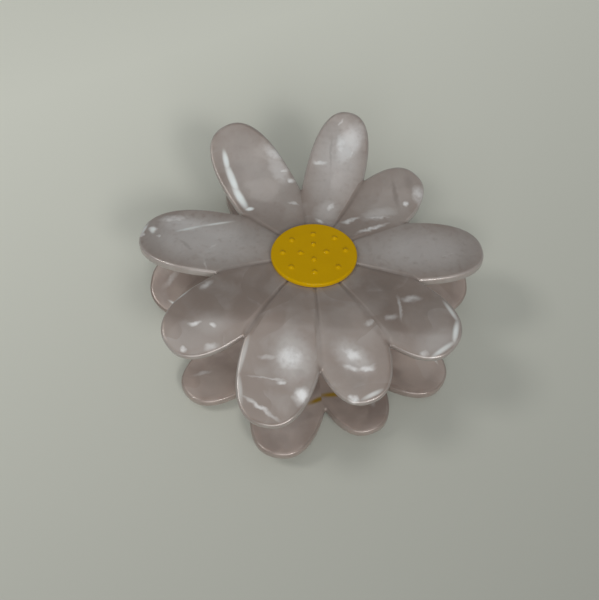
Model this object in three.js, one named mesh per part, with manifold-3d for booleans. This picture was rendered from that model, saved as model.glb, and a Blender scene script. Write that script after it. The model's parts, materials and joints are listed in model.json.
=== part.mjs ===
// A daisy claw clip for hair: two S-bent flower plates that turn on one sprung hinge.
// Millimetres, +Z up. The clip lies on its lower flower, the hinge axis runs along X and the jaw faces -Y.
import * as THREE from 'three';
import { mergeVertices } from 'three/addons/utils/BufferGeometryUtils.js';
import Module from 'manifold-3d';

const wasm = await Module();
wasm.setup();

// ---- driving dimensions ----

// Flower plate: one flat nine-petal blank, bent about the X direction.
const plateThickness = 2.4;
const rimRound = 0.5;            // polished round along the edge
const petalHalfLength = 18.8;    // half the length of each petal's oval
const petalFullness = 2.4;       // 2 is an ellipse, more is squarer
const petalEgg = 0.07;           // how much wider the outer end is
const petals = [                 // angle from +X in degrees, reach from the flower's centre, half width
  { angle: 5.5, reach: 40, halfWidth: 9.5 },
  { angle: 46, reach: 36, halfWidth: 8 },
  { angle: 79, reach: 43, halfWidth: 7.3 },
  { angle: 122, reach: 44.2, halfWidth: 8.4 },
  { angle: 172, reach: 41.2, halfWidth: 10 },
  { angle: 220.5, reach: 39.8, halfWidth: 8.5 },
  { angle: 258, reach: 43.2, halfWidth: 8.8 },
  { angle: 290, reach: 38.8, halfWidth: 8.3 },
  { angle: 322.5, reach: 39.3, halfWidth: 8.8 },
];
const lowerTurn = 3.3;           // the lower blank sits turned by this many degrees
const lowerLongPetal = { place: 3, angle: 119.5, halfWidth: 7.2 };   // its one odd petal, cut slimmer
const columnsPerPetal = 10;      // outline points along each petal
const ringScales = [0.25, 0.45, 0.62, 0.78, 0.92];

// Bend: the plate's slope, in degrees, at distances from the flower's centre towards the handle.
const bend = [
  { at: -50, slope: 9 },
  { at: -34, slope: 9 },
  { at: -23, slope: 12.5 },
  { at: -13, slope: -12 },
  { at: 9, slope: -12 },
  { at: 19, slope: 10 },
  { at: 28, slope: 13.5 },
  { at: 38, slope: 19.5 },
  { at: 50, slope: 19.5 },
];
const centreHeight = 9.7;        // from the mid-plane between the halves to the middle of a plate

// Engraved lines between the petals, on the outer face.
const grooveDepth = 0.5;
const grooveHalfAngle = 1.0;     // degrees
const grooveInnerScale = 0.25;

// Yellow centre.
const discRadius = 9.8;
const discThickness = 1.3;
const discRound = 0.4;
const discOffset = { x: 0.4, v: -0.95 };
const outerDots = { count: 8, ringRadius: 6.9, turn: 4 };
const innerDots = { count: 4, ringRadius: 2.9, turn: 4 };
const dotRadius = 0.6;
const dotRise = 0.35;

// Hinge.
const hingeY = 13;
const gap = 0.3;                 // left between pieces that touch
const leafThickness = 0.9;
const leafWidth = 15;
const leafFrom = -8;             // along the plate
const leafTo = 8;
const earFrom = -1.5;            // where an ear's foot starts along the plate
const earThickness = 1;
const eyeRadius = 2.4;
const pinRadius = 0.9;
const pinClearance = 0.15;
const pinHeadRadius = 1.7;
const pinHeadThickness = 0.8;
const pinTail = 0.5;             // peened end proud of the washer
const bite = 0.2;                // how far joined solids run into each other
const upperEarInside = 4.2;      // from the middle to an ear's inner face
const lowerEarInside = upperEarInside + earThickness + gap;
const sleeveRadius = 1.6;
const sleeveHalfLength = 3.7;
const wireRadius = 0.45;
const coilRadius = 2.4;
const coilTurns = 5;
const coilPitch = 1.15;
const legReach = 8;
const legTilt = 25;              // degrees between a leg and the mid-plane

// Rivets that hold each leaf to its plate.
const rivetX = 4.6;
const rivetV = -4.7;
const rivetRadius = 1;
const rivetHeadRadius = 1.8;
const rivetHeadThickness = 0.7;
const rivetSunk = 0.4;           // its tip stays this far below the plate's outer face

// ---- materials ----

function finish(color, roughness, metalness) {
  return new THREE.MeshStandardMaterial({ color, roughness, metalness });
}

const pearlAcetate = () => finish(0xd9cfd6, 0.18, 0);
const yellowEnamel = () => finish(0xe0b400, 0.25, 0);
const goldSteel = () => finish(0xc9a24a, 0.3, 1);
const springSteel = () => finish(0xb8b4aa, 0.3, 1);
const clearNylon = () => finish(0xd8d4cc, 0.5, 0);

// ---- solids ----

const rad = THREE.MathUtils.degToRad;

function toManifold(geometry) {
  const bare = geometry.clone();
  bare.deleteAttribute('normal');
  bare.deleteAttribute('uv');
  const merged = mergeVertices(bare, 1e-4);
  const vertProperties = new Float32Array(merged.attributes.position.array);
  const triVerts = new Uint32Array(merged.index.array);
  return new wasm.Manifold(new wasm.Mesh({ numProp: 3, vertProperties, triVerts }));
}

function toGeometry(solid) {
  const mesh = solid.getMesh();
  const geometry = new THREE.BufferGeometry();
  geometry.setAttribute('position', new THREE.BufferAttribute(new Float32Array(mesh.vertProperties), 3));
  geometry.setIndex(new THREE.BufferAttribute(new Uint32Array(mesh.triVerts), 1));
  geometry.computeVertexNormals();
  return geometry;
}

// Mirrors a geometry in the mid-plane and turns its faces the right way round again.
function mirroredBelow(geometry) {
  const flipped = geometry.index ? geometry.clone() : mergeVertices(geometry);
  flipped.scale(1, 1, -1);
  const index = flipped.index.array;
  for (let i = 0; i < index.length; i += 3) {
    const first = index[i];
    index[i] = index[i + 1];
    index[i + 1] = first;
  }
  return flipped;
}

// ---- the bend ----

const bendStep = 0.25;
const bendReach = 50;

function slopeAt(v) {
  for (let i = 1; i < bend.length; i += 1) {
    const a = bend[i - 1];
    const b = bend[i];
    if (v <= b.at) return rad(THREE.MathUtils.mapLinear(Math.max(v, a.at), a.at, b.at, a.slope, b.slope));
  }
  return rad(bend[bend.length - 1].slope);
}

// Walks along the bend from the centre and gives the place of the plate's middle surface at v.
function bentPlace(v) {
  const steps = Math.max(1, Math.ceil(Math.abs(v) / bendStep));
  const step = v / steps;
  let y = 0;
  let z = centreHeight;
  for (let i = 0; i < steps; i += 1) {
    const slope = slopeAt((i + 0.5) * step);
    y += Math.cos(slope) * step;
    z += Math.sin(slope) * step;
  }
  return { y, z, slope: slopeAt(v) };
}

// A point of the bent plate: u along X, v along the bend, h outwards from the middle surface.
function onPlate(u, v, h) {
  const place = bentPlace(THREE.MathUtils.clamp(v, -bendReach, bendReach));
  return new THREE.Vector3(u, place.y - h * Math.sin(place.slope), place.z + h * Math.cos(place.slope));
}

// The matrix that stands a piece on the plate: its Z points outwards, its Y runs along the bend.
function plateMatrix(u, v, h) {
  const place = bentPlace(v);
  const matrix = new THREE.Matrix4().makeRotationX(place.slope);
  return matrix.setPosition(onPlate(u, v, h));
}

// ---- the flower blank ----

// The petal's own outline: along its axis and across it, for a turn round its oval.
function petalPoint(petal, turn) {
  const c = Math.cos(turn);
  const s = Math.sin(turn);
  const power = 2 / petalFullness;
  const along = petal.reach - petalHalfLength + petalHalfLength * Math.sign(c) * Math.abs(c) ** power;
  const across = petal.halfWidth * Math.sign(s) * Math.abs(s) ** power * (1 + petalEgg * c);
  return { along, across };
}

// How far the petal's outer edge reaches in a direction given from its axis.
function petalReachAt(petal, offset) {
  let inside = 0;
  let outside = Math.PI * 0.75;
  for (let i = 0; i < 40; i += 1) {
    const turn = (inside + outside) / 2;
    const { along, across } = petalPoint(petal, turn);
    if (Math.atan2(across, along) < offset) inside = turn;
    else outside = turn;
  }
  const { along, across } = petalPoint(petal, inside);
  return { radius: Math.hypot(along, across), turn: inside };
}

// The notch between a petal and the next one round: where their edges cross.
function notchBetween(petal, next) {
  const span = rad((next.angle - petal.angle + 360) % 360);
  let low = 0;
  let high = span;
  for (let i = 0; i < 40; i += 1) {
    const offset = (low + high) / 2;
    if (petalReachAt(petal, offset).radius > petalReachAt(next, span - offset).radius) low = offset;
    else high = offset;
  }
  return { offset: low, back: span - low, radius: petalReachAt(petal, low).radius };
}

function lowerPetals() {
  const turned = petals.map((petal) => ({ ...petal, angle: petal.angle + lowerTurn }));
  const { place, ...cut } = lowerLongPetal;
  turned[place] = { ...turned[place], ...cut };
  return turned;
}

// The whole outline as flat points, with a marked column on each notch and one on either side of it.
function blankOutline(blank) {
  const columns = [];
  const notches = blank.map((petal, i) => notchBetween(petal, blank[(i + 1) % blank.length]));
  blank.forEach((petal, i) => {
    const axis = rad(petal.angle);
    const before = notches[(i + blank.length - 1) % blank.length];
    const after = notches[i];
    const narrow = rad(grooveHalfAngle);
    const startTurn = petalReachAt(petal, before.back - narrow).turn;
    const endTurn = petalReachAt(petal, after.offset - narrow).turn;
    for (let j = 0; j < columnsPerPetal; j += 1) {
      const turn = THREE.MathUtils.lerp(-startTurn, endTurn, j / (columnsPerPetal - 1));
      const { along, across } = petalPoint(petal, turn);
      columns.push({
        x: along * Math.cos(axis) - across * Math.sin(axis),
        y: along * Math.sin(axis) + across * Math.cos(axis),
        notch: false,
      });
    }
    columns.push({
      x: after.radius * Math.cos(axis + after.offset),
      y: after.radius * Math.sin(axis + after.offset),
      notch: true,
    });
  });
  return columns;
}

// The outline moved inwards by the rim's round.
function insetPoint(columns, j) {
  const point = columns[j];
  const last = columns[(j + columns.length - 1) % columns.length];
  const next = columns[(j + 1) % columns.length];
  const radius = Math.hypot(point.x, point.y);
  if (point.notch) return { x: point.x * (1 - rimRound / radius), y: point.y * (1 - rimRound / radius) };
  const dx = next.x - last.x;
  const dy = next.y - last.y;
  const length = Math.hypot(dx, dy);
  return { x: point.x - (rimRound * dy) / length, y: point.y + (rimRound * dx) / length };
}

// A flat turned disc gives the rings and columns, and each of its points then moves to its place on the plate.
function flowerGeometry(blank) {
  const columns = blankOutline(blank);
  const insets = columns.map((point, j) => insetPoint(columns, j));
  const half = plateThickness / 2;
  const inset = 0.96;              // marks the ring that the rim's round moves in
  const profile = [new THREE.Vector2(0, -half)];
  ringScales.forEach((scale) => profile.push(new THREE.Vector2(scale, -half)));
  profile.push(new THREE.Vector2(inset, -half));
  profile.push(new THREE.Vector2(1, -half + rimRound));
  profile.push(new THREE.Vector2(1, half - rimRound));
  profile.push(new THREE.Vector2(inset, half));
  [...ringScales].reverse().forEach((scale) => profile.push(new THREE.Vector2(scale, half)));
  profile.push(new THREE.Vector2(0, half));
  const geometry = new THREE.LatheGeometry(profile, columns.length);
  geometry.rotateX(Math.PI / 2);
  const position = geometry.attributes.position;
  const rows = profile.length;
  for (let i = 0; i < position.count; i += 1) {
    const row = i % rows;
    const j = Math.floor(i / rows) % columns.length;
    const { x: scale, y: level } = profile[row];
    const column = columns[j];
    const flat = scale === inset ? insets[j] : { x: column.x * scale, y: column.y * scale };
    const engraved = column.notch && level > 0 && scale > grooveInnerScale;
    const place = onPlate(flat.x, flat.y, engraved ? level - grooveDepth : level);
    position.setXYZ(i, place.x, place.y, place.z);
  }
  return geometry;
}

// A short shaft that stands on the plate, for rivets and their holes.
function plateShaft(u, v, from, to, radius, segments = 20) {
  const shaft = new THREE.CylinderGeometry(radius, radius, to - from, segments);
  shaft.rotateX(Math.PI / 2);
  return shaft.applyMatrix4(plateMatrix(u, v, (from + to) / 2));
}

const innerFace = -plateThickness / 2;
const leafTop = innerFace - gap;
const leafBottom = leafTop - leafThickness;
const rivetTip = plateThickness / 2 - rivetSunk;

// The blank is wound so that its faces may point in: this turns them out.
function outwards(geometry) {
  const merged = geometry.clone();
  merged.deleteAttribute('normal');
  merged.deleteAttribute('uv');
  const joined = mergeVertices(merged, 1e-4);
  const p = joined.attributes.position;
  const index = joined.index.array;
  const kept = [];
  let volume = 0;
  const a = new THREE.Vector3();
  const b = new THREE.Vector3();
  const c = new THREE.Vector3();
  for (let i = 0; i < index.length; i += 3) {
    if (index[i] === index[i + 1] || index[i + 1] === index[i + 2] || index[i] === index[i + 2]) continue;
    kept.push(index[i], index[i + 1], index[i + 2]);
    a.fromBufferAttribute(p, index[i]);
    b.fromBufferAttribute(p, index[i + 1]);
    c.fromBufferAttribute(p, index[i + 2]);
    volume += a.dot(b.cross(c));
  }
  if (volume < 0) kept.reverse();
  joined.setIndex(kept);
  return joined;
}

function flowerPlate(blank) {
  let solid = toManifold(outwards(flowerGeometry(blank)));
  [-rivetX, rivetX].forEach((x) => {
    const hole = plateShaft(x, rivetV, -plateThickness, plateThickness, rivetRadius + gap / 2);
    solid = solid.subtract(toManifold(hole));
  });
  return toGeometry(solid);
}

function centreDisc() {
  const profile = [
    new THREE.Vector2(0, 0),
    new THREE.Vector2(discRadius, 0),
    new THREE.Vector2(discRadius, discThickness - discRound),
    new THREE.Vector2(discRadius - discRound * 0.3, discThickness - discRound * 0.3),
    new THREE.Vector2(discRadius - discRound, discThickness),
    new THREE.Vector2(0, discThickness),
  ];
  const disc = new THREE.LatheGeometry(profile, 48);
  disc.rotateX(Math.PI / 2);
  let solid = toManifold(outwards(disc));
  [outerDots, innerDots].forEach((ring) => {
    for (let i = 0; i < ring.count; i += 1) {
      const angle = rad(ring.turn + (360 * i) / ring.count);
      const dot = new THREE.SphereGeometry(dotRadius, 8, 6);
      dot.scale(1, 1, dotRise / dotRadius);
      dot.translate(ring.ringRadius * Math.cos(angle), ring.ringRadius * Math.sin(angle), discThickness);
      solid = solid.add(toManifold(dot));
    }
  });
  return toGeometry(solid).applyMatrix4(plateMatrix(discOffset.x, discOffset.v, plateThickness / 2 + gap));
}

// ---- the hinge ----

function alongX(radius, from, to, segments = 24) {
  const rod = new THREE.CylinderGeometry(radius, radius, to - from, segments);
  rod.rotateZ(Math.PI / 2);
  rod.translate((from + to) / 2, hingeY, 0);
  return rod;
}

// One ear: a plate across X that narrows from the leaf down to the eye on the pin.
function ear(inside) {
  const foot = (leafTop + leafBottom) / 2;
  const front = onPlate(0, earFrom, foot);
  const back = onPlate(0, leafTo - gap, foot);
  const outline = new THREE.Shape();
  outline.moveTo(front.y, front.z);
  outline.lineTo(hingeY - eyeRadius * 0.7, -eyeRadius * 0.7);
  outline.absarc(hingeY, 0, eyeRadius, rad(-135), rad(45), false);
  outline.lineTo(back.y, back.z);
  outline.closePath();
  const plate = new THREE.ExtrudeGeometry(outline, { depth: earThickness, bevelEnabled: false, curveSegments: 16 });
  const toYZ = new THREE.Matrix4().makeBasis(
    new THREE.Vector3(0, 1, 0),
    new THREE.Vector3(0, 0, 1),
    new THREE.Vector3(1, 0, 0),
  );
  plate.applyMatrix4(toYZ);
  plate.translate(inside, 0, 0);
  return plate;
}

function leaf(earInside) {
  const base = new THREE.BoxGeometry(leafWidth, leafTo - leafFrom, leafThickness);
  const middle = (leafFrom + leafTo) / 2;
  base.applyMatrix4(plateMatrix(0, middle, (leafTop + leafBottom) / 2));
  let solid = toManifold(base);
  [earInside, -earInside - earThickness].forEach((inside) => {
    solid = solid.add(toManifold(ear(inside)));
  });
  const reach = earInside + earThickness + 1;
  solid = solid.subtract(toManifold(alongX(pinRadius + pinClearance, -reach, reach)));
  [-rivetX, rivetX].forEach((x) => {
    const hole = plateShaft(x, rivetV, leafBottom - 1, leafTop + 1, rivetRadius + gap / 2);
    solid = solid.subtract(toManifold(hole));
  });
  return toGeometry(solid);
}

function rivet(x) {
  const shank = plateShaft(x, rivetV, leafBottom - gap - bite, rivetTip, rivetRadius);
  const head = plateShaft(x, rivetV, leafBottom - gap - rivetHeadThickness, leafBottom - gap, rivetHeadRadius);
  return toGeometry(toManifold(shank).add(toManifold(head)));
}

const pinEnd = lowerEarInside + earThickness + gap;

function hingePin() {
  const shank = alongX(pinRadius, -pinEnd - bite, pinEnd + pinHeadThickness + pinTail);
  const head = alongX(pinHeadRadius, -pinEnd - pinHeadThickness, -pinEnd);
  return toGeometry(toManifold(shank).add(toManifold(head)));
}

function pinWasher() {
  const ring = alongX(pinHeadRadius, pinEnd, pinEnd + pinHeadThickness);
  const hole = alongX(pinRadius + pinClearance, pinEnd - 1, pinEnd + 2);
  return toGeometry(toManifold(ring).subtract(toManifold(hole)));
}

function springSleeve() {
  const tube = alongX(sleeveRadius, -sleeveHalfLength, sleeveHalfLength);
  const hole = alongX(pinRadius + pinClearance, -sleeveHalfLength - 1, sleeveHalfLength + 1);
  return toGeometry(toManifold(tube).subtract(toManifold(hole)));
}

// The spring's wire: a leg up to the upper handle, the coil along the pin, and a leg down to the lower handle.
class SpringPath extends THREE.Curve {
  constructor() {
    super();
    this.coilAngle = 2 * Math.PI * coilTurns + Math.PI - 2 * rad(legTilt);
    this.coilLength = coilRadius * this.coilAngle;
    this.total = this.coilLength + 2 * legReach;
  }

  // The wire's middle at an angle along the coil, turning from +Z towards -Y.
  coilPoint(angle) {
    const x = (coilPitch * (angle - this.coilAngle / 2)) / (2 * Math.PI);
    const turn = angle + rad(legTilt);
    return new THREE.Vector3(x, hingeY - coilRadius * Math.sin(turn), coilRadius * Math.cos(turn));
  }

  coilHeading(angle) {
    const turn = angle + rad(legTilt);
    return new THREE.Vector3(0, -Math.cos(turn), -Math.sin(turn));
  }

  getPoint(t, target = new THREE.Vector3()) {
    const along = t * this.total - legReach;
    const angle = THREE.MathUtils.clamp(along / coilRadius, 0, this.coilAngle);
    const beyond = along - angle * coilRadius;
    return target.copy(this.coilHeading(angle)).multiplyScalar(beyond).add(this.coilPoint(angle));
  }
}

function spring() {
  const section = new THREE.Shape();
  section.absarc(0, 0, wireRadius, 0, 2 * Math.PI, false);
  const options = { steps: 90, curveSegments: 4, bevelEnabled: false, extrudePath: new SpringPath() };
  return new THREE.ExtrudeGeometry(section, options);
}

// ---- assembly ----

const clip = new THREE.Group();
const halves = { upper: new THREE.Group(), lower: new THREE.Group() };
const hinge = new THREE.Group();

function addPiece(group, name, geometry, material) {
  const piece = new THREE.Mesh(geometry, material);
  piece.name = name;
  group.add(piece);
}

addPiece(halves.upper, 'upper_flower', flowerPlate(petals), pearlAcetate());
addPiece(halves.upper, 'upper_disc', centreDisc(), yellowEnamel());
addPiece(halves.upper, 'upper_leaf', leaf(upperEarInside), goldSteel());
addPiece(halves.lower, 'lower_flower', mirroredBelow(flowerPlate(lowerPetals())), pearlAcetate());
addPiece(halves.lower, 'lower_disc', mirroredBelow(centreDisc()), yellowEnamel());
addPiece(halves.lower, 'lower_leaf', mirroredBelow(leaf(lowerEarInside)), goldSteel());
[['left', -rivetX], ['right', rivetX]].forEach(([side, x]) => {
  addPiece(halves.upper, `upper_rivet_${side}`, rivet(x), goldSteel());
  addPiece(halves.lower, `lower_rivet_${side}`, mirroredBelow(rivet(x)), goldSteel());
});
addPiece(hinge, 'hinge_pin', hingePin(), goldSteel());
addPiece(hinge, 'pin_washer', pinWasher(), goldSteel());
addPiece(hinge, 'spring_sleeve', springSleeve(), clearNylon());
addPiece(hinge, 'spring', spring(), springSteel());

clip.add(halves.upper, halves.lower, hinge);

// The origin goes to the middle of the footprint, on the ground.
clip.updateMatrixWorld(true);
const extent = new THREE.Box3().setFromObject(clip, true);
const centre = extent.getCenter(new THREE.Vector3());
clip.position.set(-centre.x, -centre.y, -extent.min.z);

export default clip;
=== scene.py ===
import json
import math
import bpy
import numpy as np
from mathutils import Matrix, Vector, kdtree


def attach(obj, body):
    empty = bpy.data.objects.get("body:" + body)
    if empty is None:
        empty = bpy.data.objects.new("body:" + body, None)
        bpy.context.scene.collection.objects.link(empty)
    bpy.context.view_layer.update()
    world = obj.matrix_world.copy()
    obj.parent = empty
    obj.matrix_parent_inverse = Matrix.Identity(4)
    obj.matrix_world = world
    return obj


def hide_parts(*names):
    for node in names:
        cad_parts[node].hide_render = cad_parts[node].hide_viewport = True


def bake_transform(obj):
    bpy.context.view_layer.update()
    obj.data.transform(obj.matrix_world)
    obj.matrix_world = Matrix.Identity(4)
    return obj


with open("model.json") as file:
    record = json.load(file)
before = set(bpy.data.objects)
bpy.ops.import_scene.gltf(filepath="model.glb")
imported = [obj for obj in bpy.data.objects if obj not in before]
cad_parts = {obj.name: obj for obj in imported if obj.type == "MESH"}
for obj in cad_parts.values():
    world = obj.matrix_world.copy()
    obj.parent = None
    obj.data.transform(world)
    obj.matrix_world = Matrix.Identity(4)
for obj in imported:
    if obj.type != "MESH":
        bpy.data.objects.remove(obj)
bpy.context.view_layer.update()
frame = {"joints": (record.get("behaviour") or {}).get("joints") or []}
mm = 0.001
hingeAxis = Vector(frame["joints"][0]["pos_m"])         # a point on the pin's axis, on the mid-plane


class Wire:                                             # one socket, so that maths reads as an expression
    def __init__(self, finish, socket):
        self.finish = finish
        self.socket = socket

    def __add__(self, other):
        return self.finish.maths("ADD", self, other)

    def __radd__(self, other):
        return self.finish.maths("ADD", other, self)

    def __sub__(self, other):
        return self.finish.maths("SUBTRACT", self, other)

    def __rsub__(self, other):
        return self.finish.maths("SUBTRACT", other, self)

    def __mul__(self, other):
        return self.finish.maths("MULTIPLY", self, other)

    def __rmul__(self, other):
        return self.finish.maths("MULTIPLY", other, self)

    def __or__(self, other):                            # the larger of the two
        return self.finish.maths("MAXIMUM", self, other)

    def __ror__(self, other):
        return self.finish.maths("MAXIMUM", other, self)


class Finish:                                           # one material with its principled shader
    def __init__(self, name, constants):
        self.material = bpy.data.materials.new(name)
        self.material.use_nodes = True
        self.tree = self.material.node_tree
        self.shader = self.tree.nodes["Principled BSDF"]
        for socketName, value in constants.items():
            self.shader.inputs[socketName].default_value = value

    def node(self, kind, settings, inputs, output=0):
        made = self.tree.nodes.new(kind)
        for key, value in settings.items():
            setattr(made, key, value)
        for key, value in inputs.items():
            if isinstance(value, Wire):
                self.tree.links.new(value.socket, made.inputs[key])
            elif value is not None:
                made.inputs[key].default_value = value
        return Wire(self, made.outputs[output])

    def maths(self, operation, first, second=None):
        return self.node("ShaderNodeMath", {"operation": operation}, {0: first, 1: second})

    def vector(self, operation, first, second=None, output=0):
        return self.node("ShaderNodeVectorMath", {"operation": operation}, {0: first, 1: second}, output)

    def scaled(self, first, factor):
        return self.node("ShaderNodeVectorMath", {"operation": "SCALE"}, {0: first, "Scale": factor})

    def dot(self, first, second):
        return self.vector("DOT_PRODUCT", first, second, 1)

    def mixed(self, mask, first, second):
        return self.node("ShaderNodeMix", {"data_type": "RGBA"}, {0: mask, 6: first, 7: second}, 2)

    def fade(self, value, low, high, to=(0, 1)):        # smooth step from low to high
        settings = {"interpolation_type": "SMOOTHSTEP"}
        inputs = {0: value, 1: low, 2: high, 3: to[0], 4: to[1]}
        return self.node("ShaderNodeMapRange", settings, inputs)

    def noise(self, place, scale, detail=2.0, roughness=0.5, output=0):
        inputs = {"Vector": place, "Scale": scale, "Detail": detail, "Roughness": roughness}
        return self.node("ShaderNodeTexNoise", {}, inputs, output)

    def wobble(self, place, scale, detail=2.0, roughness=0.5):       # coloured noise as a vector about zero
        return self.vector("SUBTRACT", self.noise(place, scale, detail, roughness, 1), (0.5,) * 3)

    def feed(self, socketName, wire):
        self.tree.links.new(wire.socket, self.shader.inputs[socketName])


def colour(red, green, blue):
    return (red, green, blue, 1.0)


def newObject(name, points, faces, material):
    mesh = bpy.data.meshes.new(name)
    mesh.from_pydata([tuple(p) for p in points], [], faces)
    mesh.update()
    mesh.materials.append(material)
    mesh.polygons.foreach_set("use_smooth", [True] * len(mesh.polygons))
    made = bpy.data.objects.new(name, mesh)
    bpy.context.scene.collection.objects.link(made)
    return made


def newPiece(name, points, faces, material, body, nodes):
    piece = newObject(name, points, faces, material)
    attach(piece, body)
    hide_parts(*nodes)
    return piece


def lathed(profile, segments, ring=False):              # (radius, height) from axis to axis, or a closed ring
    points = []
    faces = []
    rings = []
    for radius, height in profile:
        if radius < 1e-9:
            rings.append([len(points)])
            points.append((0.0, 0.0, height))
            continue
        rings.append(list(range(len(points), len(points) + segments)))
        for k in range(segments):
            angle = 2 * math.pi * k / segments
            points.append((radius * math.cos(angle), radius * math.sin(angle), height))
    for lower, upper in zip(rings, rings[1:] + (rings[:1] if ring else [])):
        for k in range(segments):
            n = (k + 1) % segments
            if len(lower) == 1:
                faces.append((lower[0], upper[n], upper[k]))
            elif len(upper) == 1:
                faces.append((lower[k], lower[n], upper[0]))
            else:
                faces.append((lower[k], lower[n], upper[n], upper[k]))
    return points, faces


def rounded(corners, radii, steps):                     # an open profile whose corners are turned into arcs
    path = [Vector((*corners[0], 0))]
    for i in range(1, len(corners) - 1):
        here = Vector((*corners[i], 0))
        back = (Vector((*corners[i - 1], 0)) - here).normalized()
        ahead = (Vector((*corners[i + 1], 0)) - here).normalized()
        radius = radii[i - 1]
        half = back.angle(ahead) / 2
        reach = radius / math.tan(half)
        middle = here + (back + ahead).normalized() * (radius / math.sin(half))
        start = here + back * reach - middle
        end = here + ahead * reach - middle
        for k in range(steps + 1):
            path.append(middle + start.slerp(end, k / steps) * radius)
    path.append(Vector((*corners[-1], 0)))
    return [(p.x, p.y) for p in path]


plate = {
    "slopes": [                                         # along the flat sheet in mm, and degrees of climb
        (-50, 9), (-34, 9), (-23, 12.5), (-13, -12), (9, -12), (19, 10), (28, 13.5), (38, 19.5), (50, 19.5),
    ],
    "centreHeight": 9.7,                                # from the mid-plane to the middle of the sheet
    "hingeAhead": 13,                                   # from the flower's centre to the pin
    "thickness": 2.4,
    "softenedOver": 121,                                # steps of the bend table, so that it has no kinks
}
flowerCentre = hingeAxis - Vector((0, plate["hingeAhead"], 0)) * mm

bendSteps = np.linspace(-50, 50, 2001)
slopeTable = np.radians(np.interp(bendSteps, *zip(*plate["slopes"])))
window = plate["softenedOver"]
slopeTable = np.convolve(np.pad(slopeTable, window // 2, "edge"), np.full(window, 1 / window), "valid")
stepLength = bendSteps[1] - bendSteps[0]
middleSlopes = (slopeTable[1:] + slopeTable[:-1]) / 2
alongY = np.concatenate([[0], np.cumsum(np.cos(middleSlopes) * stepLength)])
alongZ = np.concatenate([[0], np.cumsum(np.sin(middleSlopes) * stepLength)])
alongY -= np.interp(0, bendSteps, alongY)
alongZ += plate["centreHeight"] - np.interp(0, bendSteps, alongZ)


def bent(u, v, h):                                      # flat place and height on the sheet, after bending
    y = np.interp(v, bendSteps, alongY)
    z = np.interp(v, bendSteps, alongZ)
    slope = np.interp(v, bendSteps, slopeTable)
    return np.stack([u, y - h * np.sin(slope), z + h * np.cos(slope)], axis=-1)


def plateMatrix(u, v, h):                               # stands a piece on the plate, its Z outwards
    place = Vector(bent(u, v, h)) * mm
    return Matrix.Translation(place) @ Matrix.Rotation(float(np.interp(v, bendSteps, slopeTable)), 4, "X")


def sided(points, faces, half):                         # to the clip's place, mirrored for the lower half
    points = [Vector(p) for p in points]
    if half == "lower":
        points = [Vector((p.x, p.y, -p.z)) for p in points]
        faces = [tuple(reversed(f)) for f in faces]
    return [p + flowerCentre for p in points], faces


flower = {
    "petals": [                                         # direction in degrees, reach and half width in mm
        (5.5, 40, 9.5), (46, 36, 8), (79, 43, 7.3),
        (122, 44.2, 8.4), (172, 41.2, 10), (220.5, 39.8, 8.5),
        (258, 43.2, 8.8), (290, 38.8, 8.3), (322.5, 39.3, 8.8),
    ],
    "halfLength": 18.8,                                 # of each petal's oval
    "fullness": 2.4,
    "egg": 0.07,
    "lowerTurn": 3.3,
    "lowerLongPetal": (3, 119.5, 44.2, 7.2),            # its one odd petal, cut slimmer
    "columns": 72,                                      # outline steps along each petal
    "rimRound": 0.6,
    "insets": (0.95, 1.5, 2.3),                         # rings of the face beside the rim
    "innermost": 0.12,                                  # the smallest ring, as a share of the outline
    "fillet": 0.8,                                      # soft corner in each notch
    "filletPasses": 60,
    "pillow": 0.14,                                     # how far the face falls towards the rim
    "pillowWidth": 3.6,
    "grooveDepth": 0.42,
    "grooveWidth": 0.24,
    "grooveFrom": 7.5,
    "outerRows": 30,
    "innerRows": 12,
}
uvPerMm = 0.0068                                        # the map has three by three cells, one a petal


def cellCorner(petal):                                  # where the flower's centre lies in a petal's cell
    return Vector(((petal % 3 + 0.5) / 3, petal // 3 / 3 + 0.01))


def petalsOf(half):
    if half == "upper":
        return flower["petals"]
    turned = [(angle + flower["lowerTurn"], reach, width) for angle, reach, width in flower["petals"]]
    turned[flower["lowerLongPetal"][0]] = flower["lowerLongPetal"][1:]
    return turned


def petalOval(petal, turns):                            # along and across the petal's axis
    angle, reach, halfWidth = petal
    power = 2 / flower["fullness"]
    c = np.cos(turns)
    s = np.sin(turns)
    along = reach - flower["halfLength"] + flower["halfLength"] * np.sign(c) * np.abs(c) ** power
    across = halfWidth * np.sign(s) * np.abs(s) ** power * (1 + flower["egg"] * c)
    return along, across


def petalStretch(petals, index):                        # one petal's outline from notch to notch
    turns = np.linspace(-0.8 * math.pi, 0.8 * math.pi, 4001)
    along, across = petalOval(petals[index], turns)
    angles = np.degrees(np.arctan2(across, along))
    radii = np.hypot(along, across)
    tip = np.argmax(along)
    first, last = 0, len(turns)
    for step in (-1, 1):
        neighbour = petals[(index + step) % len(petals)]
        itsAlong, itsAcross = petalOval(neighbour, turns)
        itsAngles = np.degrees(np.arctan2(itsAcross, itsAlong)) + neighbour[0] - petals[index][0]
        farthest = {}                                   # the neighbour's reach at each tenth of a degree
        for angle, radius in zip(np.round((itsAngles + 180) % 360 - 180, 1), np.hypot(itsAlong, itsAcross)):
            farthest[angle] = max(farthest.get(angle, 0), radius)
        grid = sorted(farthest)
        covered = np.interp(angles, grid, [farthest[angle] for angle in grid], left=0, right=0)
        hidden = np.flatnonzero(radii < covered)
        if step < 0:
            first = max(hidden[hidden < tip], default=-1) + 1
        else:
            last = min(hidden[hidden >= tip], default=len(turns))
    along, across = along[first:last], across[first:last]
    axis = math.radians(petals[index][0])
    x = along * math.cos(axis) - across * math.sin(axis)
    y = along * math.sin(axis) + across * math.cos(axis)
    return np.stack([x, y], axis=1)


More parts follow.
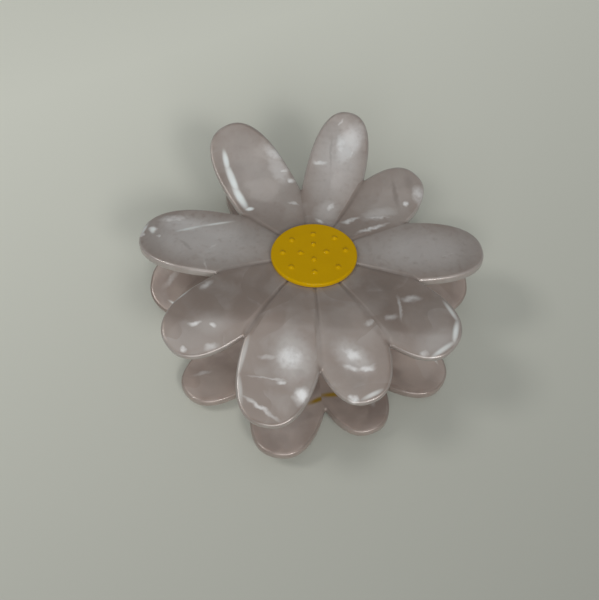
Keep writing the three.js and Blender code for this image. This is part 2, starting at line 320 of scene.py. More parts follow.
def flowerOutline(petals):
    stretches = [petalStretch(petals, i) for i in range(len(petals))]
    steps = flower["columns"]
    ends = []
    for i, stretch in enumerate(stretches):             # neighbours share the notch between them
        following = stretches[(i + 1) % len(stretches)]
        ends.append((stretch[-1] + following[0]) / 2)
    columns = []
    for i, stretch in enumerate(stretches):
        line = np.concatenate([[ends[i - 1]], stretch[1:-1], [ends[i]]])
        lengths = np.concatenate([[0], np.cumsum(np.hypot(*np.diff(line, axis=0).T))])
        t = np.arange(steps) / steps
        even = 0.35 * t + 0.65 * (1 - np.cos(math.pi * t)) / 2       # closer steps near the notches
        places = even * lengths[-1]
        columns.append(np.stack([np.interp(places, lengths, line[:, k]) for k in (0, 1)], axis=1))
    outline = np.concatenate(columns)
    notches = np.array(ends)
    for _ in range(flower["filletPasses"]):
        near = np.min(np.hypot(*(outline[:, None, :] - notches[None]).transpose(2, 0, 1)), axis=1)
        weight = 0.5 * np.clip(1 - near / flower["fillet"], 0, 1)[:, None]
        outline = outline * (1 - weight) + weight * (np.roll(outline, 1, 0) + np.roll(outline, -1, 0)) / 2
    return outline, notches


def inwardNormals(outline):
    ahead = np.roll(outline, -1, 0) - np.roll(outline, 1, 0)
    normals = np.stack([-ahead[:, 1], ahead[:, 0]], axis=1)
    return normals / np.linalg.norm(normals, axis=1)[:, None]


def sheetRows(outline):                                 # flat points, side of the sheet, drop below its face
    normals = inwardNormals(outline)
    rim = flower["rimRound"]
    *near, far = flower["insets"]
    bed = outline + normals * far                       # the ring that the scaled rows start from
    inner = [bed * s for s in np.linspace(flower["innermost"], 1, flower["innerRows"])]
    outer = [bed * s for s in np.linspace(1, flower["innermost"], flower["outerRows"])]
    ledges = [outline + normals * inset for inset in near]
    arc = []
    for k in range(5):
        turn = math.radians(22.5 * k)
        arc.append((outline + normals * rim * (1 - math.cos(turn)), rim * (1 - math.sin(turn))))
    rows = [(flat, -1, 0.0) for flat in inner + ledges[::-1]]
    rows += [(flat, -1, drop) for flat, drop in reversed(arc)]
    rows += [(flat, 1, drop) for flat, drop in arc]
    rows += [(flat, 1, 0.0) for flat in ledges + outer]
    return rows


def engraving(flat, notches):                           # lines from the yellow centre to each notch, 0 to 1
    engraved = np.zeros(len(flat))
    for notch in notches:
        reach = np.hypot(*notch)
        way = notch / reach
        along = flat @ way
        off = np.abs(flat @ np.array([-way[1], way[0]]))
        cut = np.exp(-(off / flower["grooveWidth"]) ** 2)
        cut *= np.clip((along - flower["grooveFrom"]) / 1.5, 0, 1) * np.clip((reach + 2 - along) / 1.5, 0, 1)
        engraved = np.maximum(engraved, cut)
    return engraved


def petalMap(piece, petals, flatPlaces, count):         # each petal lies flat in its own cell of the UV map
    places = piece.data.uv_layers.new(name="petal").data
    hub = len(flatPlaces) - 2                           # the two middle points come last
    for polygon in piece.data.polygons:
        columns = sorted(v % count for v in polygon.vertices if v < hub)
        wraps = columns[0] == 0 and columns[-1] == count - 1
        owner = (count - 1 if wraps else columns[0]) // flower["columns"]
        angle = math.radians(petals[owner][0])
        way = Vector((math.cos(angle), math.sin(angle)))
        for loop in polygon.loop_indices:
            flat = Vector(flatPlaces[piece.data.loops[loop].vertex_index])
            across = flat.y * way.x - flat.x * way.y
            places[loop].uv = cellCorner(owner) + Vector((across, flat.dot(way))) * uvPerMm


def flowerPlate(half, material):
    petals = petalsOf(half)
    outline, notches = flowerOutline(petals)
    rows = sheetRows(outline)
    count = len(outline)
    thick = plate["thickness"] / 2
    edge = kdtree.KDTree(count)
    for i, p in enumerate(outline):
        edge.insert((p[0], p[1], 0), i)
    edge.balance()
    points = []
    grooves = []
    for flat, side, drop in rows:
        far = np.array([edge.find((p[0], p[1], 0))[2] for p in flat])
        fall = flower["pillow"] * np.clip(1 - far / flower["pillowWidth"], 0, 1) ** 2
        grooves.append(engraving(flat, notches) if side > 0 else np.zeros(count))
        height = side * (thick - drop - fall) - flower["grooveDepth"] * grooves[-1]
        points.append(bent(flat[:, 0], flat[:, 1], height))
    points = list(np.concatenate(points) * mm)
    faces = []
    for r in range(len(rows) - 1):
        for c in range(count):
            n = (c + 1) % count
            faces.append((r * count + c, r * count + n, (r + 1) * count + n, (r + 1) * count + c))
    for last, centre in ((0, -thick), (len(rows) - 1, thick)):
        hub = len(points)
        points.append(bent(0, 0, centre) * mm)
        for c in range(count):
            n = (c + 1) % count
            corner = (last * count + n, last * count + c, hub)
            faces.append(corner if last == 0 else (corner[1], corner[0], corner[2]))
    points, faces = sided(points, faces, half)
    piece = newPiece(f"{half}Plate", points, faces, material, half, [f"{half}_flower"])
    rims = [np.full(count, float(drop > 0.02)) for flat, side, drop in rows]
    for name, values in (("groove", grooves), ("rim", rims)):
        marked = piece.data.attributes.new(name, "FLOAT", "POINT")
        marked.data.foreach_set("value", np.concatenate(values + [[0, 0]]).astype(np.float32))
    petalMap(piece, petals, np.concatenate([row[0] for row in rows] + [np.zeros((2, 2))]), count)


pearl = {
    # silver: the colour of bright pearl folds and of painted highlights
    "silverAndHighlight": (0.86, 0.85, 0.86),
    # glare: the near white of painted glare lines
    "paintedGlare": (0.93, 0.97, 0.97),
    "groove": (0.12, 0.085, 0.07),
    "amber": (0.42, 0.26, 0.03),
    "metal": 0.22,
    "metalGain": 0.3,                                   # how much more metallic the folds are
    "roughness": (0.30, 0.38),
    "cover": 0.9,                                       # how fully the bright folds and painted highlights hide the body colour
    "shade": 0.45,                                      # how much grooves, creases and painted shade darken it
    "silk": 0.10,                                       # how bright the faint terraced folds are
    "cellSize": 9.0,
    "cellWarp": 9.0,
    "cellTilt": 0.13,
    "softTilt": 0.22,
    "ragged": 1.6,                                      # how far the edges of strokes wander
    "glint": (-0.05, -0.22, 0.974),                     # the way the silver folds face
    "glintPull": 0.8,
}
upperPearl = {
    "rim": (0.12, (0.86, 0.85, 0.86)),                  # how strongly a painted highlight lightens the rounded rim, and its colour
    # lines are painted glare: a lamp's long streak, glowing rims and bright pearl lines
    "lines": [                                          # petal, from, to, half width, strength; a place is
                                                        # how far along the petal and how far across it
        (3, (38.6, 3.2), (32.0, 5.3), 0.5, 0.9), (3, (35.5, 4.5), (25.0, 6.1), 0.62, 1.0),
        (3, (29.0, 5.9), (20.0, 6.3), 0.66, 1.0), (3, (20.7, 6.5), (20.0, 4.9), 0.42, 1.0),
        (4, (33.6, -0.9), (26.5, -4.7), 0.3, 0.6), (4, (29.0, -3.6), (19.6, -7.5), 0.3, 0.6),
        (4, (40.3, -3.0), (40.9, 2.0), 0.3, 0.6), (4, (38.8, -1.6), (38.2, 0.2), 0.5, 0.8),
        (8, (30.8, 7.3), (37.0, 4.6), 0.35, 0.5), (8, (36.0, 5.3), (38.6, 0.0), 0.45, 0.7),
        (8, (38.6, 1.6), (36.4, -5.8), 0.4, 0.6), (6, (36.0, -7.9), (24.0, -7.9), 0.4, 0.22),
        (6, (40.4, -5.2), (33.0, -8.1), 0.4, 0.22), (7, (37.8, -2.0), (37.0, 3.5), 0.35, 0.4),
        (5, (34.0, -7.4), (28.0, -8.0), 0.3, 0.4),
    ],
    "body": [(0.296, 0.237, 0.209), (0.343, 0.290, 0.264)],       # darker and lighter clouds
    "sheens": [                                         # wide and faint: painted light that lifts whole petals, and soft pearl glows
        (4, (40.0, 0.0), (12.0, 0.0), 6.0, 0.5), (4, (38.0, -2.5), (24.0, -4.5), 2.6, 0.6),
        (0, (38.0, 0.0), (12.0, 0.0), 6.0, 0.42), (3, (40.0, 0.0), (14.0, 0.0), 6.0, 0.22),
        (3, (31.0, -6.0), (22.0, -5.5), 1.8, 0.5), (2, (41.0, 0.0), (16.0, 0.0), 5.0, 0.42),
        (1, (34.0, 0.0), (16.0, 0.0), 5.0, 0.16),
        (2, (40.5, -3.0), (27.0, 0.0), 2.4, 0.8), (2, (19.0, -1.0), (11.0, 0.0), 2.4, 0.4),
        (6, (31.0, 3.5), (24.0, 1.0), 3.0, 0.5), (7, (31.5, 1.6), (25.5, -2.4), 2.0, 0.5),
        (8, (37.0, 2.0), (34.0, -5.0), 2.0, 0.3), (5, (33.0, 0.0), (26.0, 4.0), 2.0, 0.2),
        (1, (16.0, 1.0), (26.0, -4.0), 1.5, 0.4),
    ],
    # streaks are bright pearl folds, partly painted highlights
    "streaksAndGlints": [
        (3, (33.5, -6.0), (29.0, -8.0), 1.3, 0.7), (3, (26.4, -5.8), (25.2, -8.0), 0.45, 1.0),
        (3, (22.8, -6.1), (22.1, -7.8), 0.5, 1.0), (3, (26.0, -5.4), (23.0, -5.7), 0.3, 0.5),
        (3, (18.0, -3.0), (15.2, -5.8), 0.35, 0.6),
        (4, (39.0, -4.0), (30.0, -6.6), 1.0, 0.8), (4, (24.5, 4.2), (21.6, -0.4), 0.35, 0.7),
        (4, (31.7, 1.5), (27.4, 4.8), 0.25, 0.5), (4, (38.8, -1.0), (38.4, -0.8), 0.9, 1.0),
        (4, (36.9, 1.0), (36.5, 1.2), 0.5, 0.8), (4, (40.4, 0.6), (40.2, 1.6), 0.5, 1.0),
        (4, (24.4, 4.6), (22.6, 10.2), 0.25, 0.5),
        (2, (37.0, 0.9), (29.6, -1.2), 1.3, 1.0), (2, (38.2, -4.4), (28.8, -2.0), 0.5, 0.9),
        (2, (41.0, 1.0), (38.4, 2.2), 0.35, 0.7), (2, (27.6, 6.0), (28.1, 1.9), 0.6, 0.9),
        (2, (24.8, 2.0), (25.6, -2.0), 0.4, 0.5), (2, (18.0, -1.5), (14.5, -0.6), 0.8, 0.8),
        (2, (11.5, 2.0), (11.0, -0.8), 0.5, 0.9),
        (1, (33.9, -2.8), (30.4, -5.9), 1.0, 0.7), (1, (28.3, -4.1), (28.0, -4.0), 0.6, 1.0),
        (1, (12.2, 2.6), (16.9, 0.7), 0.5, 0.8), (1, (16.9, 0.7), (23.2, -4.9), 0.35, 0.7),
        (1, (11.4, -2.1), (21.6, -5.6), 0.45, 0.9),
        (0, (27.4, -3.4), (34.8, -0.9), 0.2, 0.6),
        (8, (24.1, 1.5), (26.7, 4.6), 0.7, 0.8), (8, (22.3, 2.4), (27.4, -3.2), 0.3, 0.6),
        (8, (23.9, -4.6), (25.6, -2.4), 0.5, 0.6), (8, (35.2, -5.5), (34.9, -5.3), 0.7, 0.9),
        (7, (26.2, -2.0), (29.7, 1.2), 1.1, 1.0), (7, (29.3, -3.0), (31.6, -0.2), 0.6, 1.0),
        (7, (31.4, -0.6), (31.8, 3.4), 0.6, 0.9),
        (7, (37.3, -3.4), (37.0, -3.2), 0.7, 1.0), (7, (22.6, 4.5), (22.4, 6.6), 0.4, 0.6),
        (6, (28.4, 3.2), (27.0, 0.6), 2.3, 1.0), (6, (29.4, -4.6), (28.0, 0.0), 0.5, 0.5),
        (6, (33.6, 0.4), (33.1, 2.4), 0.4, 1.0),
        (6, (33.8, 6.4), (36.1, 6.0), 1.1, 1.0), (6, (37.7, -6.8), (41.6, 4.0), 0.35, 0.8),
        (6, (33.9, -7.0), (32.2, 6.6), 0.2, 0.5),
        (5, (33.4, -0.9), (31.0, 0.8), 0.4, 1.0), (5, (29.7, 1.8), (29.0, 3.2), 0.4, 1.0),
        (5, (26.4, -6.6), (23.0, -6.9), 0.5, 0.7), (5, (37.6, 2.9), (37.4, 3.0), 0.5, 0.9),
        (5, (33.8, 5.6), (31.4, 6.5), 0.7, 0.6),
    ],
    # creases are dark pearl folds; the wide ones are painted shade over whole petals
    "creasesAndShade": [
        (5, (38.0, 0.0), (12.0, 0.0), 6.0, 0.4), (6, (42.0, 0.0), (12.0, 0.0), 6.0, 0.4),
        (7, (38.0, 0.0), (12.0, 0.0), 6.0, 0.4), (8, (38.0, 0.0), (12.0, 0.0), 6.0, 0.7),
        (1, (31.5, 3.9), (25.1, -4.6), 0.5, 0.8), (1, (34.4, 1.1), (31.3, -2.4), 0.8, 0.6),
        (7, (28.0, -2.6), (31.9, 1.0), 0.4, 0.7), (8, (18.7, 4.7), (22.1, 2.8), 0.3, 0.6),
        (8, (27.2, -3.0), (31.2, -6.2), 0.3, 0.6), (6, (30.6, 3.0), (30.2, 5.8), 0.9, 0.6),
        (2, (37.8, 3.4), (24.3, 0.9), 0.2, 0.5), (4, (31.7, 1.0), (27.2, 4.2), 0.3, 0.5),
    ],
}
lowerPearl = {
    # lines on the lower half are painted glare
    "lines": [(4, (36.0, 5.0), (30.0, 7.6), 0.25, 0.7), (8, (36.0, 4.0), (30.0, 7.0), 0.25, 0.6)],
    "amber": [(6, (29.2, 4.4), (25.6, 9.0), 0.5, 1.0), (7, (25.6, -8.8), (27.8, -0.8), 0.5, 1.0)],
    # the lower body is painted lighter than the upper's: painted light for the half that sits in shade
    "body": [(0.405, 0.325, 0.293), (0.54, 0.445, 0.402)],
    # sheens are painted light that lifts petals
    "sheens": [
        (2, (34.0, 0.0), (26.0, 0.0), 2.4, 0.3), (3, (34.0, 0.0), (26.0, 0.0), 2.4, 0.3),
        (6, (40.0, 0.0), (26.0, 0.0), 5.0, 0.2),
    ],
    # rim: painted shade darkens the rounded rim
    "rim": (0.45, (0.20, 0.16, 0.14)),
    # streaks are pearl folds and painted highlights of lamps
    "streaksAndGlints": [
        (6, (36.5, -4.0), (33.0, -5.5), 0.6, 0.5), (7, (33.0, 2.5), (30.5, 4.0), 0.5, 0.5),
        (5, (36.0, -3.5), (31.0, -1.0), 0.4, 0.5), (4, (37.5, 2.0), (34.5, -3.0), 0.6, 0.5),
        (0, (36.0, 2.0), (33.5, 5.0), 0.5, 0.5), (2, (34.0, 3.0), (28.0, -2.0), 0.9, 0.7),
        (3, (33.0, -3.0), (26.0, 2.0), 0.9, 0.7), (1, (30.0, 2.0), (26.0, -3.0), 0.8, 0.7),
    ],
    "creasesAndShade": [(6, (33.0, 3.0), (29.0, -4.0), 0.4, 0.5), (4, (33.0, 4.0), (29.0, -2.0), 0.4, 0.5)],
}


def strokes(finish, sheet, marks):                      # one mask of soft oval strokes on the flat petals
    mask = None
    for petal, start, end, halfWidth, strength in marks:
        a = Vector((start[1], start[0], 0))
        b = Vector((end[1], end[0], 0))
        middle = cellCorner(petal).to_3d() / uvPerMm + (a + b) / 2
        turn = (0, 0, math.atan2(b.y - a.y, b.x - a.x))
        size = ((b - a).length / 2 + 1.5 * halfWidth, 2 * halfWidth, 1)
        inputs = {0: sheet, 1: middle, 2: turn, 3: size}
        oval = finish.node("ShaderNodeMapping", {"vector_type": "TEXTURE"}, inputs)
        mark = finish.fade(finish.vector("LENGTH", oval, output=1), 0.15, 1.0, (strength, 0))
        mask = mark if mask is None else mask | mark
    return mask


def pearlNormal(finish, sheet, cells, pearlAndHighlight):          # facets lean at random; bright folds and painted highlights lean to the glint
    cellLean = finish.scaled(finish.vector("SUBTRACT", cells, (0.5,) * 3), pearl["cellTilt"])
    softLean = finish.scaled(finish.wobble(sheet, 0.12, 3.0, 0.55), pearl["softTilt"])
    tilt = finish.vector("ADD", cellLean, softLean)
    toWorld = {"vector_type": "VECTOR", "convert_from": "OBJECT", "convert_to": "WORLD"}
    tilt = finish.node("ShaderNodeVectorTransform", toWorld, {0: tilt})
    glint = finish.node("ShaderNodeVectorTransform", toWorld, {0: pearl["glint"]})
    normal = finish.node("ShaderNodeNewGeometry", {}, {}, 1)
    outer = finish.fade(finish.dot(normal, glint), 0.1, 0.5)        # 0 on the side that faces away
    pull = pearlAndHighlight * outer * pearl["glintPull"]
    faceted = finish.scaled(finish.vector("ADD", normal, tilt), 1 - pull)
    return finish.vector("NORMALIZE", finish.vector("ADD", faceted, finish.scaled(glint, pull)))


def pearlAcetate(name, look):
    finish = Finish(name, {
        "IOR": 1.49, "Coat Weight": 0.5, "Coat Roughness": 0.09, "Coat IOR": 1.5,
        "Subsurface Weight": 0.3, "Subsurface Radius": (1, 0.8, 0.72), "Subsurface Scale": 0.003,
    })
    flat = finish.node("ShaderNodeUVMap", {"uv_map": "petal"}, {})
    sheet = finish.scaled(flat, 1 / uvPerMm)            # millimetres on the flat petal
    drift = finish.wobble(sheet, 0.09)
    warped = finish.vector("ADD", sheet, finish.scaled(drift, pearl["cellWarp"]))
    cellInputs = {"Vector": warped, "Scale": 1 / pearl["cellSize"], "Smoothness": 0.3}
    cells = finish.node("ShaderNodeTexVoronoi", {"feature": "SMOOTH_F1"}, cellInputs, 1)
    cloud = finish.noise(warped, 0.14, 3.0)
    ruffled = finish.vector("ADD", sheet, finish.scaled(finish.wobble(sheet, 0.5), pearl["ragged"]))
    patchy = finish.fade(finish.noise(sheet, 0.45, 3.0, 0.6), 0.3, 0.62, (0.65, 1))
    terraces = finish.noise(finish.vector("ADD", sheet, finish.scaled(drift, 5.0)), 0.05, 0.0) * 5
    silk = finish.fade(finish.maths("FRACT", terraces), 0.2, 1.0, (0, pearl["silk"]))
    silk = silk * finish.fade(cloud, 0.38, 0.6)
    # bright pearl folds together with painted highlights and painted light
    lines = strokes(finish, sheet, look["lines"])
    streaksAndGlints = strokes(finish, ruffled, look["streaksAndGlints"]) * patchy
    pearlAndHighlight = streaksAndGlints | lines | strokes(finish, ruffled, look["sheens"]) | silk
    # dark pearl folds and painted shade
    creasesAndShade = strokes(finish, ruffled, look["creasesAndShade"])
    rim = finish.node("ShaderNodeAttribute", {"attribute_name": "rim"}, {}, 2)
    groove = finish.node("ShaderNodeAttribute", {"attribute_name": "groove"}, {}, 2)

    darker, lighter = look["body"]
    shade = cloud * 0.7 + finish.node("ShaderNodeSeparateColor", {}, {"Color": cells}) * 0.3
    body = finish.mixed(finish.fade(shade, 0.3, 0.7), colour(*darker), colour(*lighter))
    # painted highlights and pearl folds turn the body silver
    body = finish.mixed(pearlAndHighlight * pearl["cover"], body, colour(*pearl["silverAndHighlight"]))
    # painted glare lines in near white
    body = finish.mixed(lines * pearl["cover"], body, colour(*pearl["paintedGlare"]))
    # painted highlight on the upper half's rim, painted shade on the lower's
    rimPaintedAmount, rimPaintedColour = look["rim"]
    body = finish.mixed(rim * rimPaintedAmount, body, colour(*rimPaintedColour))
    body = finish.mixed(groove * pearl["shade"], body, colour(*pearl["groove"]))
    # creases and painted shade darken the body
    body = finish.mixed(creasesAndShade * pearl["shade"], body, colour(*[c * 0.5 for c in darker]))
    if "amber" in look:
        body = finish.mixed(strokes(finish, sheet, look["amber"]), body, colour(*pearl["amber"]))
    finish.feed("Base Color", body)
    finish.feed("Normal", pearlNormal(finish, sheet, cells, pearlAndHighlight))
    finish.feed("Roughness", finish.fade(cloud, 0.3, 0.7, pearl["roughness"]))
    finish.feed("Metallic", pearl["metal"] + pearlAndHighlight * pearl["metalGain"])
    return finish.material


disc = {
    "radius": 9.95,
    "thickness": 1.0,
    "round": 0.4,
    "underRound": 0.15,
    "rings": 38,                                        # fine enough for the dots
    "offset": (0.4, -0.95),                             # from the middle of the plate
    "dots": [                                           # the embossed pattern is a little uneven
        (-0.35, 6.2), (4.7, 5.15), (7.25, 1.25), (5.55, -4.25), (0.3, -6.05), (-5.0, -4.75), (-7.2, -0.25),
        (-5.25, 4.0), (-0.2, 2.8), (2.85, 0.5), (0.05, -2.05), (-3.05, -0.15),
    ],
    "dotRadius": 0.56,
    "dotRise": 0.42,
    "glueLine": 0.1,
}


def yellowEnamel():
    finish = Finish("yellowEnamel", {
        "IOR": 1.5, "Specular IOR Level": 0.2, "Specular Tint": (1, 0.8, 0.05, 1),
        "Coat Weight": 0.18, "Coat Roughness": 0.04,
    })
    place = finish.node("ShaderNodeTexCoord", {}, {}, 3)
    cloud = finish.noise(place, 260, 4.0, 0.6)
    finish.feed("Base Color", finish.mixed(cloud, colour(0.57, 0.325, 0.0), colour(0.635, 0.37, 0.0)))
    finish.feed("Roughness", finish.fade(cloud, 0.3, 0.7, (0.40, 0.50)))
    grain = finish.noise(place, 1500, 2.0, 0.5)
    bump = finish.node("ShaderNodeBump", {}, {"Strength": 0.08, "Distance": 0.0002, "Height": grain})
    finish.feed("Normal", bump)
    return finish.material


def centreDisc(half, material):
    radius, thick = disc["radius"], disc["thickness"]
    corners = [(0, 0), (radius, 0), (radius, thick), (0, thick)]
    profile = rounded(corners, [disc["underRound"], disc["round"]], 6)
    inner = np.linspace(radius - disc["round"] - 0.05, 0.3, disc["rings"])
    profile = profile[:-1] + [(r, thick) for r in inner] + [(0, thick)]
    points, faces = lathed(profile, 160)
    dots = [Vector(place) for place in disc["dots"]]
    raised = []
    for p in points:
        lift = 0.0
        if p[2] > thick - 1e-6:
            for dot in dots:
                far = (Vector(p[:2]) - dot).length / disc["dotRadius"]
                if far < 1:
                    lift = max(lift, disc["dotRise"] * math.sqrt(1 - far * far))
        raised.append(Vector((p[0], p[1], p[2] + lift)) * mm)
    stand = plateMatrix(*disc["offset"], plate["thickness"] / 2 + disc["glueLine"])
    points, faces = sided([stand @ p for p in raised], faces, half)
    newPiece(f"{half}Centre", points, faces, material, half, [f"{half}_disc"])


hinge = {
    "leafSize": (15, 16),
    "leafCorner": 1.6,
    "leafThickness": 0.9,
    "leafDepth": -1.95,                                 # its middle, from the middle of the sheet
    "earFoot": (-1.5, 7.7),                             # along the plate
    "earThickness": 1.0,
    "earInside": {"upper": 4.2, "lower": 5.5},
    "eyeRadius": 2.4,
    "pinHole": 1.05,
    "rivets": (4.6, -4.7),                              # across and along the plate
    "rivetHole": 1.15,
    "edge": 0.13,                                       # softened edge of stamped parts
    "crisp": 35,                                        # edges sharper than this, in degrees, stay crisp
    "rivetProfile": [(0, -3.4), (0.7, -3.37), (1.25, -3.25), (1.6, -3.03), (1.78, -2.8), (1.74, -2.7),
                     (1.0, -2.7), (1.0, 0.72), (0.92, 0.8), (0, 0.8)],
    "pinProfile": [(0, -7.6), (1.2, -7.6), (1.52, -7.5), (1.7, -7.25), (1.7, -6.98), (1.6, -6.82),
                   (0.9, -6.8), (0.9, 7.62), (1.14, 7.66), (1.2, 7.78), (1.08, 7.97), (0.7, 8.08), (0, 8.1)],
    "washerProfile": [(1.05, 6.9), (1.12, 6.82), (1.62, 6.82), (1.7, 6.9), (1.7, 7.5), (1.62, 7.6),
                      (1.12, 7.6), (1.05, 7.5)],
    "sleeveProfile": [(1.05, -3.6), (1.12, -3.7), (1.5, -3.7), (1.6, -3.6), (1.6, 3.6), (1.5, 3.7),
                      (1.12, 3.7), (1.05, 3.6)],
}


def meshed(curve):                                      # points and faces of a curve, then thrown away
    holder = bpy.data.objects.new("holder", curve)
    bpy.context.scene.collection.objects.link(holder)
    bpy.context.view_layer.update()
    mesh = bpy.data.meshes.new_from_object(holder.evaluated_get(bpy.context.evaluated_depsgraph_get()))
    points = [v.co.copy() for v in mesh.vertices]
    faces = [tuple(p.vertices) for p in mesh.polygons]
    bpy.data.objects.remove(holder)
    bpy.data.curves.remove(curve)
    bpy.data.meshes.remove(mesh)
    return points, faces


def stamped(outlines, thickness):                       # flat part with holes and softened edges, about z 0
    edge = hinge["edge"]
    curve = bpy.data.curves.new("stamping", "CURVE")
    curve.dimensions = "2D"
    curve.fill_mode = "BOTH"
    curve.extrude = thickness / 2 - edge
    curve.bevel_depth = edge
    curve.bevel_resolution = 2
    curve.offset = -edge
    for outline in outlines:
        spline = curve.splines.new("POLY")
        spline.points.add(len(outline) - 1)
        for point, (x, y) in zip(spline.points, outline):
            point.co = (x, y, 0, 1)
        spline.use_cyclic_u = True
    return meshed(curve)


def arcPoints(x, y, radius, start, sweep, steps):       # in degrees
    turns = [math.radians(start + sweep * k / steps) for k in range(steps + 1)]
    return [(x + radius * math.cos(t), y + radius * math.sin(t)) for t in turns]


def circle(x, y, radius):
    return arcPoints(x, y, radius, 0, 360, 48)[:-1]


def gathered(parts):                                    # several (points, faces) as one
    points = []
    faces = []
    for morePoints, moreFaces in parts:
        faces += [tuple(i + len(points) for i in face) for face in moreFaces]
        points += morePoints
    return points, faces


def leafPiece(half, material):
    width, length = hinge["leafSize"]
    corner = hinge["leafCorner"]
    outline = []
    for sx, sy, start in ((1, 1, 0), (-1, 1, 90), (-1, -1, 180), (1, -1, 270)):
        outline += arcPoints(sx * (width / 2 - corner), sy * (length / 2 - corner), corner, start, 90, 8)
    x, v = hinge["rivets"]
    holes = [circle(-x, v, hinge["rivetHole"]), circle(x, v, hinge["rivetHole"])]
    points, faces = stamped([outline] + holes, hinge["leafThickness"])
    stand = plateMatrix(0, 0, hinge["leafDepth"])
    parts = [([stand @ (p * mm) for p in points], faces)]
    ahead = plate["hingeAhead"]
    feet = [bent(0, foot, hinge["leafDepth"])[1:] for foot in hinge["earFoot"]]
    ear = [tuple(feet[0]), *arcPoints(ahead, 0, hinge["eyeRadius"], -135, 180, 24), tuple(feet[1])]
    points, faces = stamped([ear, circle(ahead, 0, hinge["pinHole"])], hinge["earThickness"])
    middle = hinge["earInside"][half] + hinge["earThickness"] / 2
    for x in (-middle, middle):
        parts.append(([Vector((p.z + x, p.x, p.y)) * mm for p in points], faces))
    points, faces = sided(*gathered(parts), half)
    piece = newPiece(f"{half}Leaf", points, faces, material, half, [f"{half}_leaf"])
    piece.data.set_sharp_from_angle(angle=math.radians(hinge["crisp"]))


def rivetPieces(half, material):
    points, faces = lathed(hinge["rivetProfile"], 40)
    for side, x in (("left", -hinge["rivets"][0]), ("right", hinge["rivets"][0])):
        stand = plateMatrix(x, hinge["rivets"][1], 0)
        placed, turned = sided([stand @ (Vector(p) * mm) for p in points], faces, half)
        name = f"{half}Rivet{side.title()}"
        piece = newPiece(name, placed, turned, material, half, [f"{half}_rivet_{side}"])
        piece.data.set_sharp_from_angle(angle=math.radians(hinge["crisp"]))


def pinPiece(name, profile, material, node, ring=True):      # a turned part on the pin's axis
    points, faces = lathed(profile, 48, ring)
    points = [Vector((z, x, y)) * mm + hingeAxis for x, y, z in points]
    piece = newPiece(name, points, faces, material, "lower", [node])
    piece.data.set_sharp_from_angle(angle=math.radians(hinge["crisp"]))


spring = {
    "coilRadius": 2.4,
    "wireRadius": 0.45,
    "pitch": 1.15,
    "turns": 5,
    "legTilt": 25,                                      # degrees between a leg and the mid-plane
    "legReach": 8,
    "twistHalf": 2.85,                                  # the coil twists this far either side of the middle
    "coilSteps": 300,
    "legSteps": 9,
}


def springPiece(material):
    tilt = math.radians(spring["legTilt"])
    whole = 2 * math.pi * spring["turns"] + math.pi - 2 * tilt

    def coilPoint(angle, beyond):
        x = spring["pitch"] * (angle - whole / 2) / (2 * math.pi)
        s = math.sin(angle + tilt)
        c = math.cos(angle + tilt)
        return (x, -spring["coilRadius"] * s - beyond * c, spring["coilRadius"] * c - beyond * s)

    legs = [spring["legReach"] * k / spring["legSteps"] for k in range(1, spring["legSteps"] + 1)]
    path = [coilPoint(0, -reach) for reach in reversed(legs)]
    path += [coilPoint(whole * k / spring["coilSteps"], 0) for k in range(spring["coilSteps"] + 1)]
    path += [coilPoint(whole, reach) for reach in legs]
    curve = bpy.data.curves.new("wire", "CURVE")
    curve.dimensions = "3D"
    curve.bevel_depth = spring["wireRadius"]
    curve.bevel_resolution = 3
    curve.use_fill_caps = True
    line = curve.splines.new("POLY")
    line.points.add(len(path) - 1)
    for point, place in zip(line.points, path):
        point.co = (*place, 1)
    points, faces = meshed(curve)
    piece = newObject("springWire", [p * mm + hingeAxis for p in points], faces, material)
    piece.data.set_sharp_from_angle(angle=math.radians(50))
    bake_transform(piece)
    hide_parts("spring")


def brushedSteel(name, darker, lighter, roughness):
    finish = Finish(name, {"Metallic": 1.0})
    place = finish.node("ShaderNodeTexCoord", {}, {}, 3)
    brushed = finish.noise(finish.vector("MULTIPLY", place, (260, 2600, 1400)), 1.0, 3.0, 0.6)
    cloud = finish.noise(place, 240, 3.0, 0.6)
    finish.feed("Base Color", finish.mixed(cloud, colour(*darker), colour(*lighter)))
    finish.feed("Roughness", finish.fade(brushed * 0.5 + cloud * 0.5, 0.3, 0.7, roughness))
    grain = finish.node("ShaderNodeBump", {}, {"Strength": 0.15, "Distance": 0.00005, "Height": brushed})
    finish.feed("Normal", grain)
    return finish.material


def clearNylon():
    finish = Finish("clearNylon", {"IOR": 1.53, "Subsurface Weight": 0.3, "Subsurface Scale": 0.001})
    place = finish.node("ShaderNodeTexCoord", {}, {}, 3)
    cloud = finish.noise(place, 500, 3.0, 0.6)
    finish.feed("Base Color", finish.mixed(cloud, colour(0.50, 0.48, 0.43), colour(0.60, 0.58, 0.53)))
    finish.feed("Roughness", finish.fade(cloud, 0.3, 0.7, (0.36, 0.48)))
    return finish.material


print("stage: plates")
flowerPlate("upper", pearlAcetate("pearlUpper", upperPearl))
flowerPlate("lower", pearlAcetate("pearlLower", lowerPearl))
print("stage: yellow centres")
enamel = yellowEnamel()
centreDisc("upper", enamel)
centreDisc("lower", enamel)
print("stage: hinge")
gold = brushedSteel("goldSteel", (0.52, 0.34, 0.12), (0.66, 0.46, 0.18), (0.24, 0.40))
for half in ("upper", "lower"):
    leafPiece(half, gold)
    rivetPieces(half, gold)
pinPiece("hingePin", hinge["pinProfile"], gold, "hinge_pin", ring=False)
pinPiece("pinWasher", hinge["washerProfile"], gold, "pin_washer")
pinPiece("springSleeve", hinge["sleeveProfile"], clearNylon(), "spring_sleeve")
springPiece(brushedSteel("springSteel", (0.42, 0.41, 0.38), (0.55, 0.53, 0.50), (0.22, 0.36)))


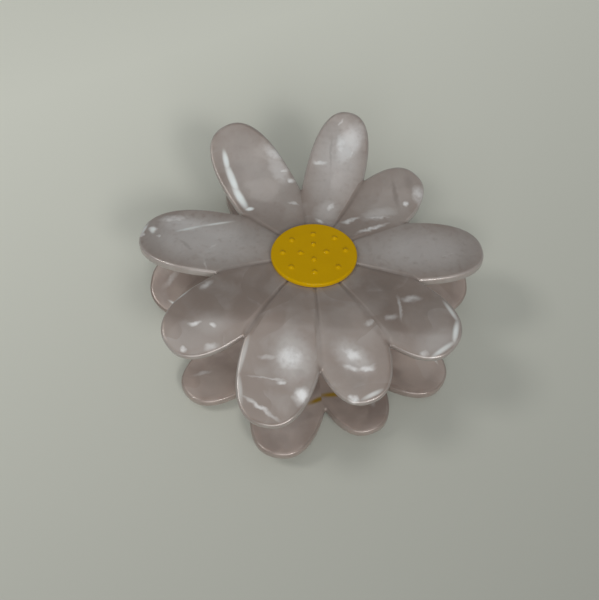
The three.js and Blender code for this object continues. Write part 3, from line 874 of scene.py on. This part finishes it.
studio = {
    "floorSize": 1.6,
    "floorShade": (0.592, 0.597, 0.542),
    "paintedFloorLight": (-1.5, 3.0, 0),                        # painted light: how much lighter or darker it is painted per metre
    "paintedFloorLightLimit": 0.35,
    "sky": (0.97, 1.0, 0.98),
    "skyStrength": 0.18,
    "lamps": [                                          # name, place, size, watts, tint
        ("leftLamp", (-0.42, -0.02, 0.58), (0.16, 0.16), 0.85, (1, 0.99, 0.95)),
        ("rightLamp", (0.32, -0.50, 0.55), (0.16, 0.16), 1.05, (1, 0.99, 0.95)),
        ("ceiling", (-0.06, 0.03, 1.3), (0.6, 0.6), 1.3, (0.97, 1, 1)),
        ("frontWindow", (0.1, -0.9, 0.7), (0.9, 0.6), 5.0, (0.98, 1, 0.99)),
    ],
}


def addFloor():
    finish = Finish("paleTable", {"Specular IOR Level": 0.3})
    place = finish.node("ShaderNodeTexCoord", {}, {}, 3)
    cloud = finish.noise(place, 3.0, 2.0, 0.5)
    shade = studio["floorShade"]
    cloudy = finish.mixed(cloud, colour(*[s * 0.97 for s in shade]), colour(*[s * 1.03 for s in shade]))
    limit = studio["paintedFloorLightLimit"]
    # painted light: the floor is painted lighter towards the back and left, darker towards the front and
    # right
    fall = finish.dot(place, studio["paintedFloorLight"])
    level = finish.node("ShaderNodeMapRange", {}, {0: fall, 1: -limit, 2: limit, 3: 1 - limit, 4: 1 + limit})
    finish.feed("Base Color", finish.scaled(cloudy, level))
    finish.feed("Roughness", finish.fade(cloud, 0.3, 0.7, (0.5, 0.6)))
    half = studio["floorSize"] / 2
    corners = [(-half, -half, 0), (half, -half, 0), (half, half, 0), (-half, half, 0)]
    table = newObject("table", corners, [(0, 1, 2, 3)], finish.material)


def addLamps():
    for name, place, size, watts, tint in studio["lamps"]:
        light = bpy.data.lights.new(name, "AREA")
        light.shape = "RECTANGLE"
        light.size, light.size_y = size
        light.energy = watts
        light.color = tint
        lamp = bpy.data.objects.new(name, light)
        lamp.location = place
        lamp.rotation_euler = (flowerCentre - Vector(place)).to_track_quat("-Z", "Y").to_euler()
        bpy.context.scene.collection.objects.link(lamp)
    world = bpy.data.worlds.new("room")
    world.use_nodes = True
    background = world.node_tree.nodes["Background"]
    background.inputs["Color"].default_value = colour(*studio["sky"])
    background.inputs["Strength"].default_value = studio["skyStrength"]
    bpy.context.scene.world = world
    bpy.context.scene.view_settings.view_transform = "Standard"


camera = {
    "stand": (0.13, -95.06, 156.7),                     # mm from the flower's centre
    "azimuth": -1.81,
    "elevation": 60.41,
    "roll": 0.41,
    "lens": 45.11,
}


def addCamera():
    azimuth = math.radians(camera["azimuth"])
    elevation = math.radians(camera["elevation"])
    level = Vector((math.sin(azimuth), math.cos(azimuth), 0)) * math.cos(elevation)
    forward = level - Vector((0, 0, math.sin(elevation)))
    right = Vector((math.cos(azimuth), -math.sin(azimuth), 0))
    up = right.cross(forward)
    roll = math.radians(camera["roll"])
    rolledRight = right * math.cos(roll) + up * math.sin(roll)
    rolledUp = up * math.cos(roll) - right * math.sin(roll)
    view = Matrix((rolledRight, rolledUp, -forward)).transposed().to_4x4()
    lens = bpy.data.cameras.new("view")
    lens.lens = camera["lens"]
    lens.sensor_width = 36
    lens.clip_start = 0.005
    viewer = bpy.data.objects.new("view", lens)
    viewer.matrix_world = Matrix.Translation(flowerCentre + Vector(camera["stand"]) * mm) @ view
    bpy.context.scene.collection.objects.link(viewer)
    bpy.context.scene.camera = viewer


print("stage: studio")
addFloor()
addLamps()
addCamera()
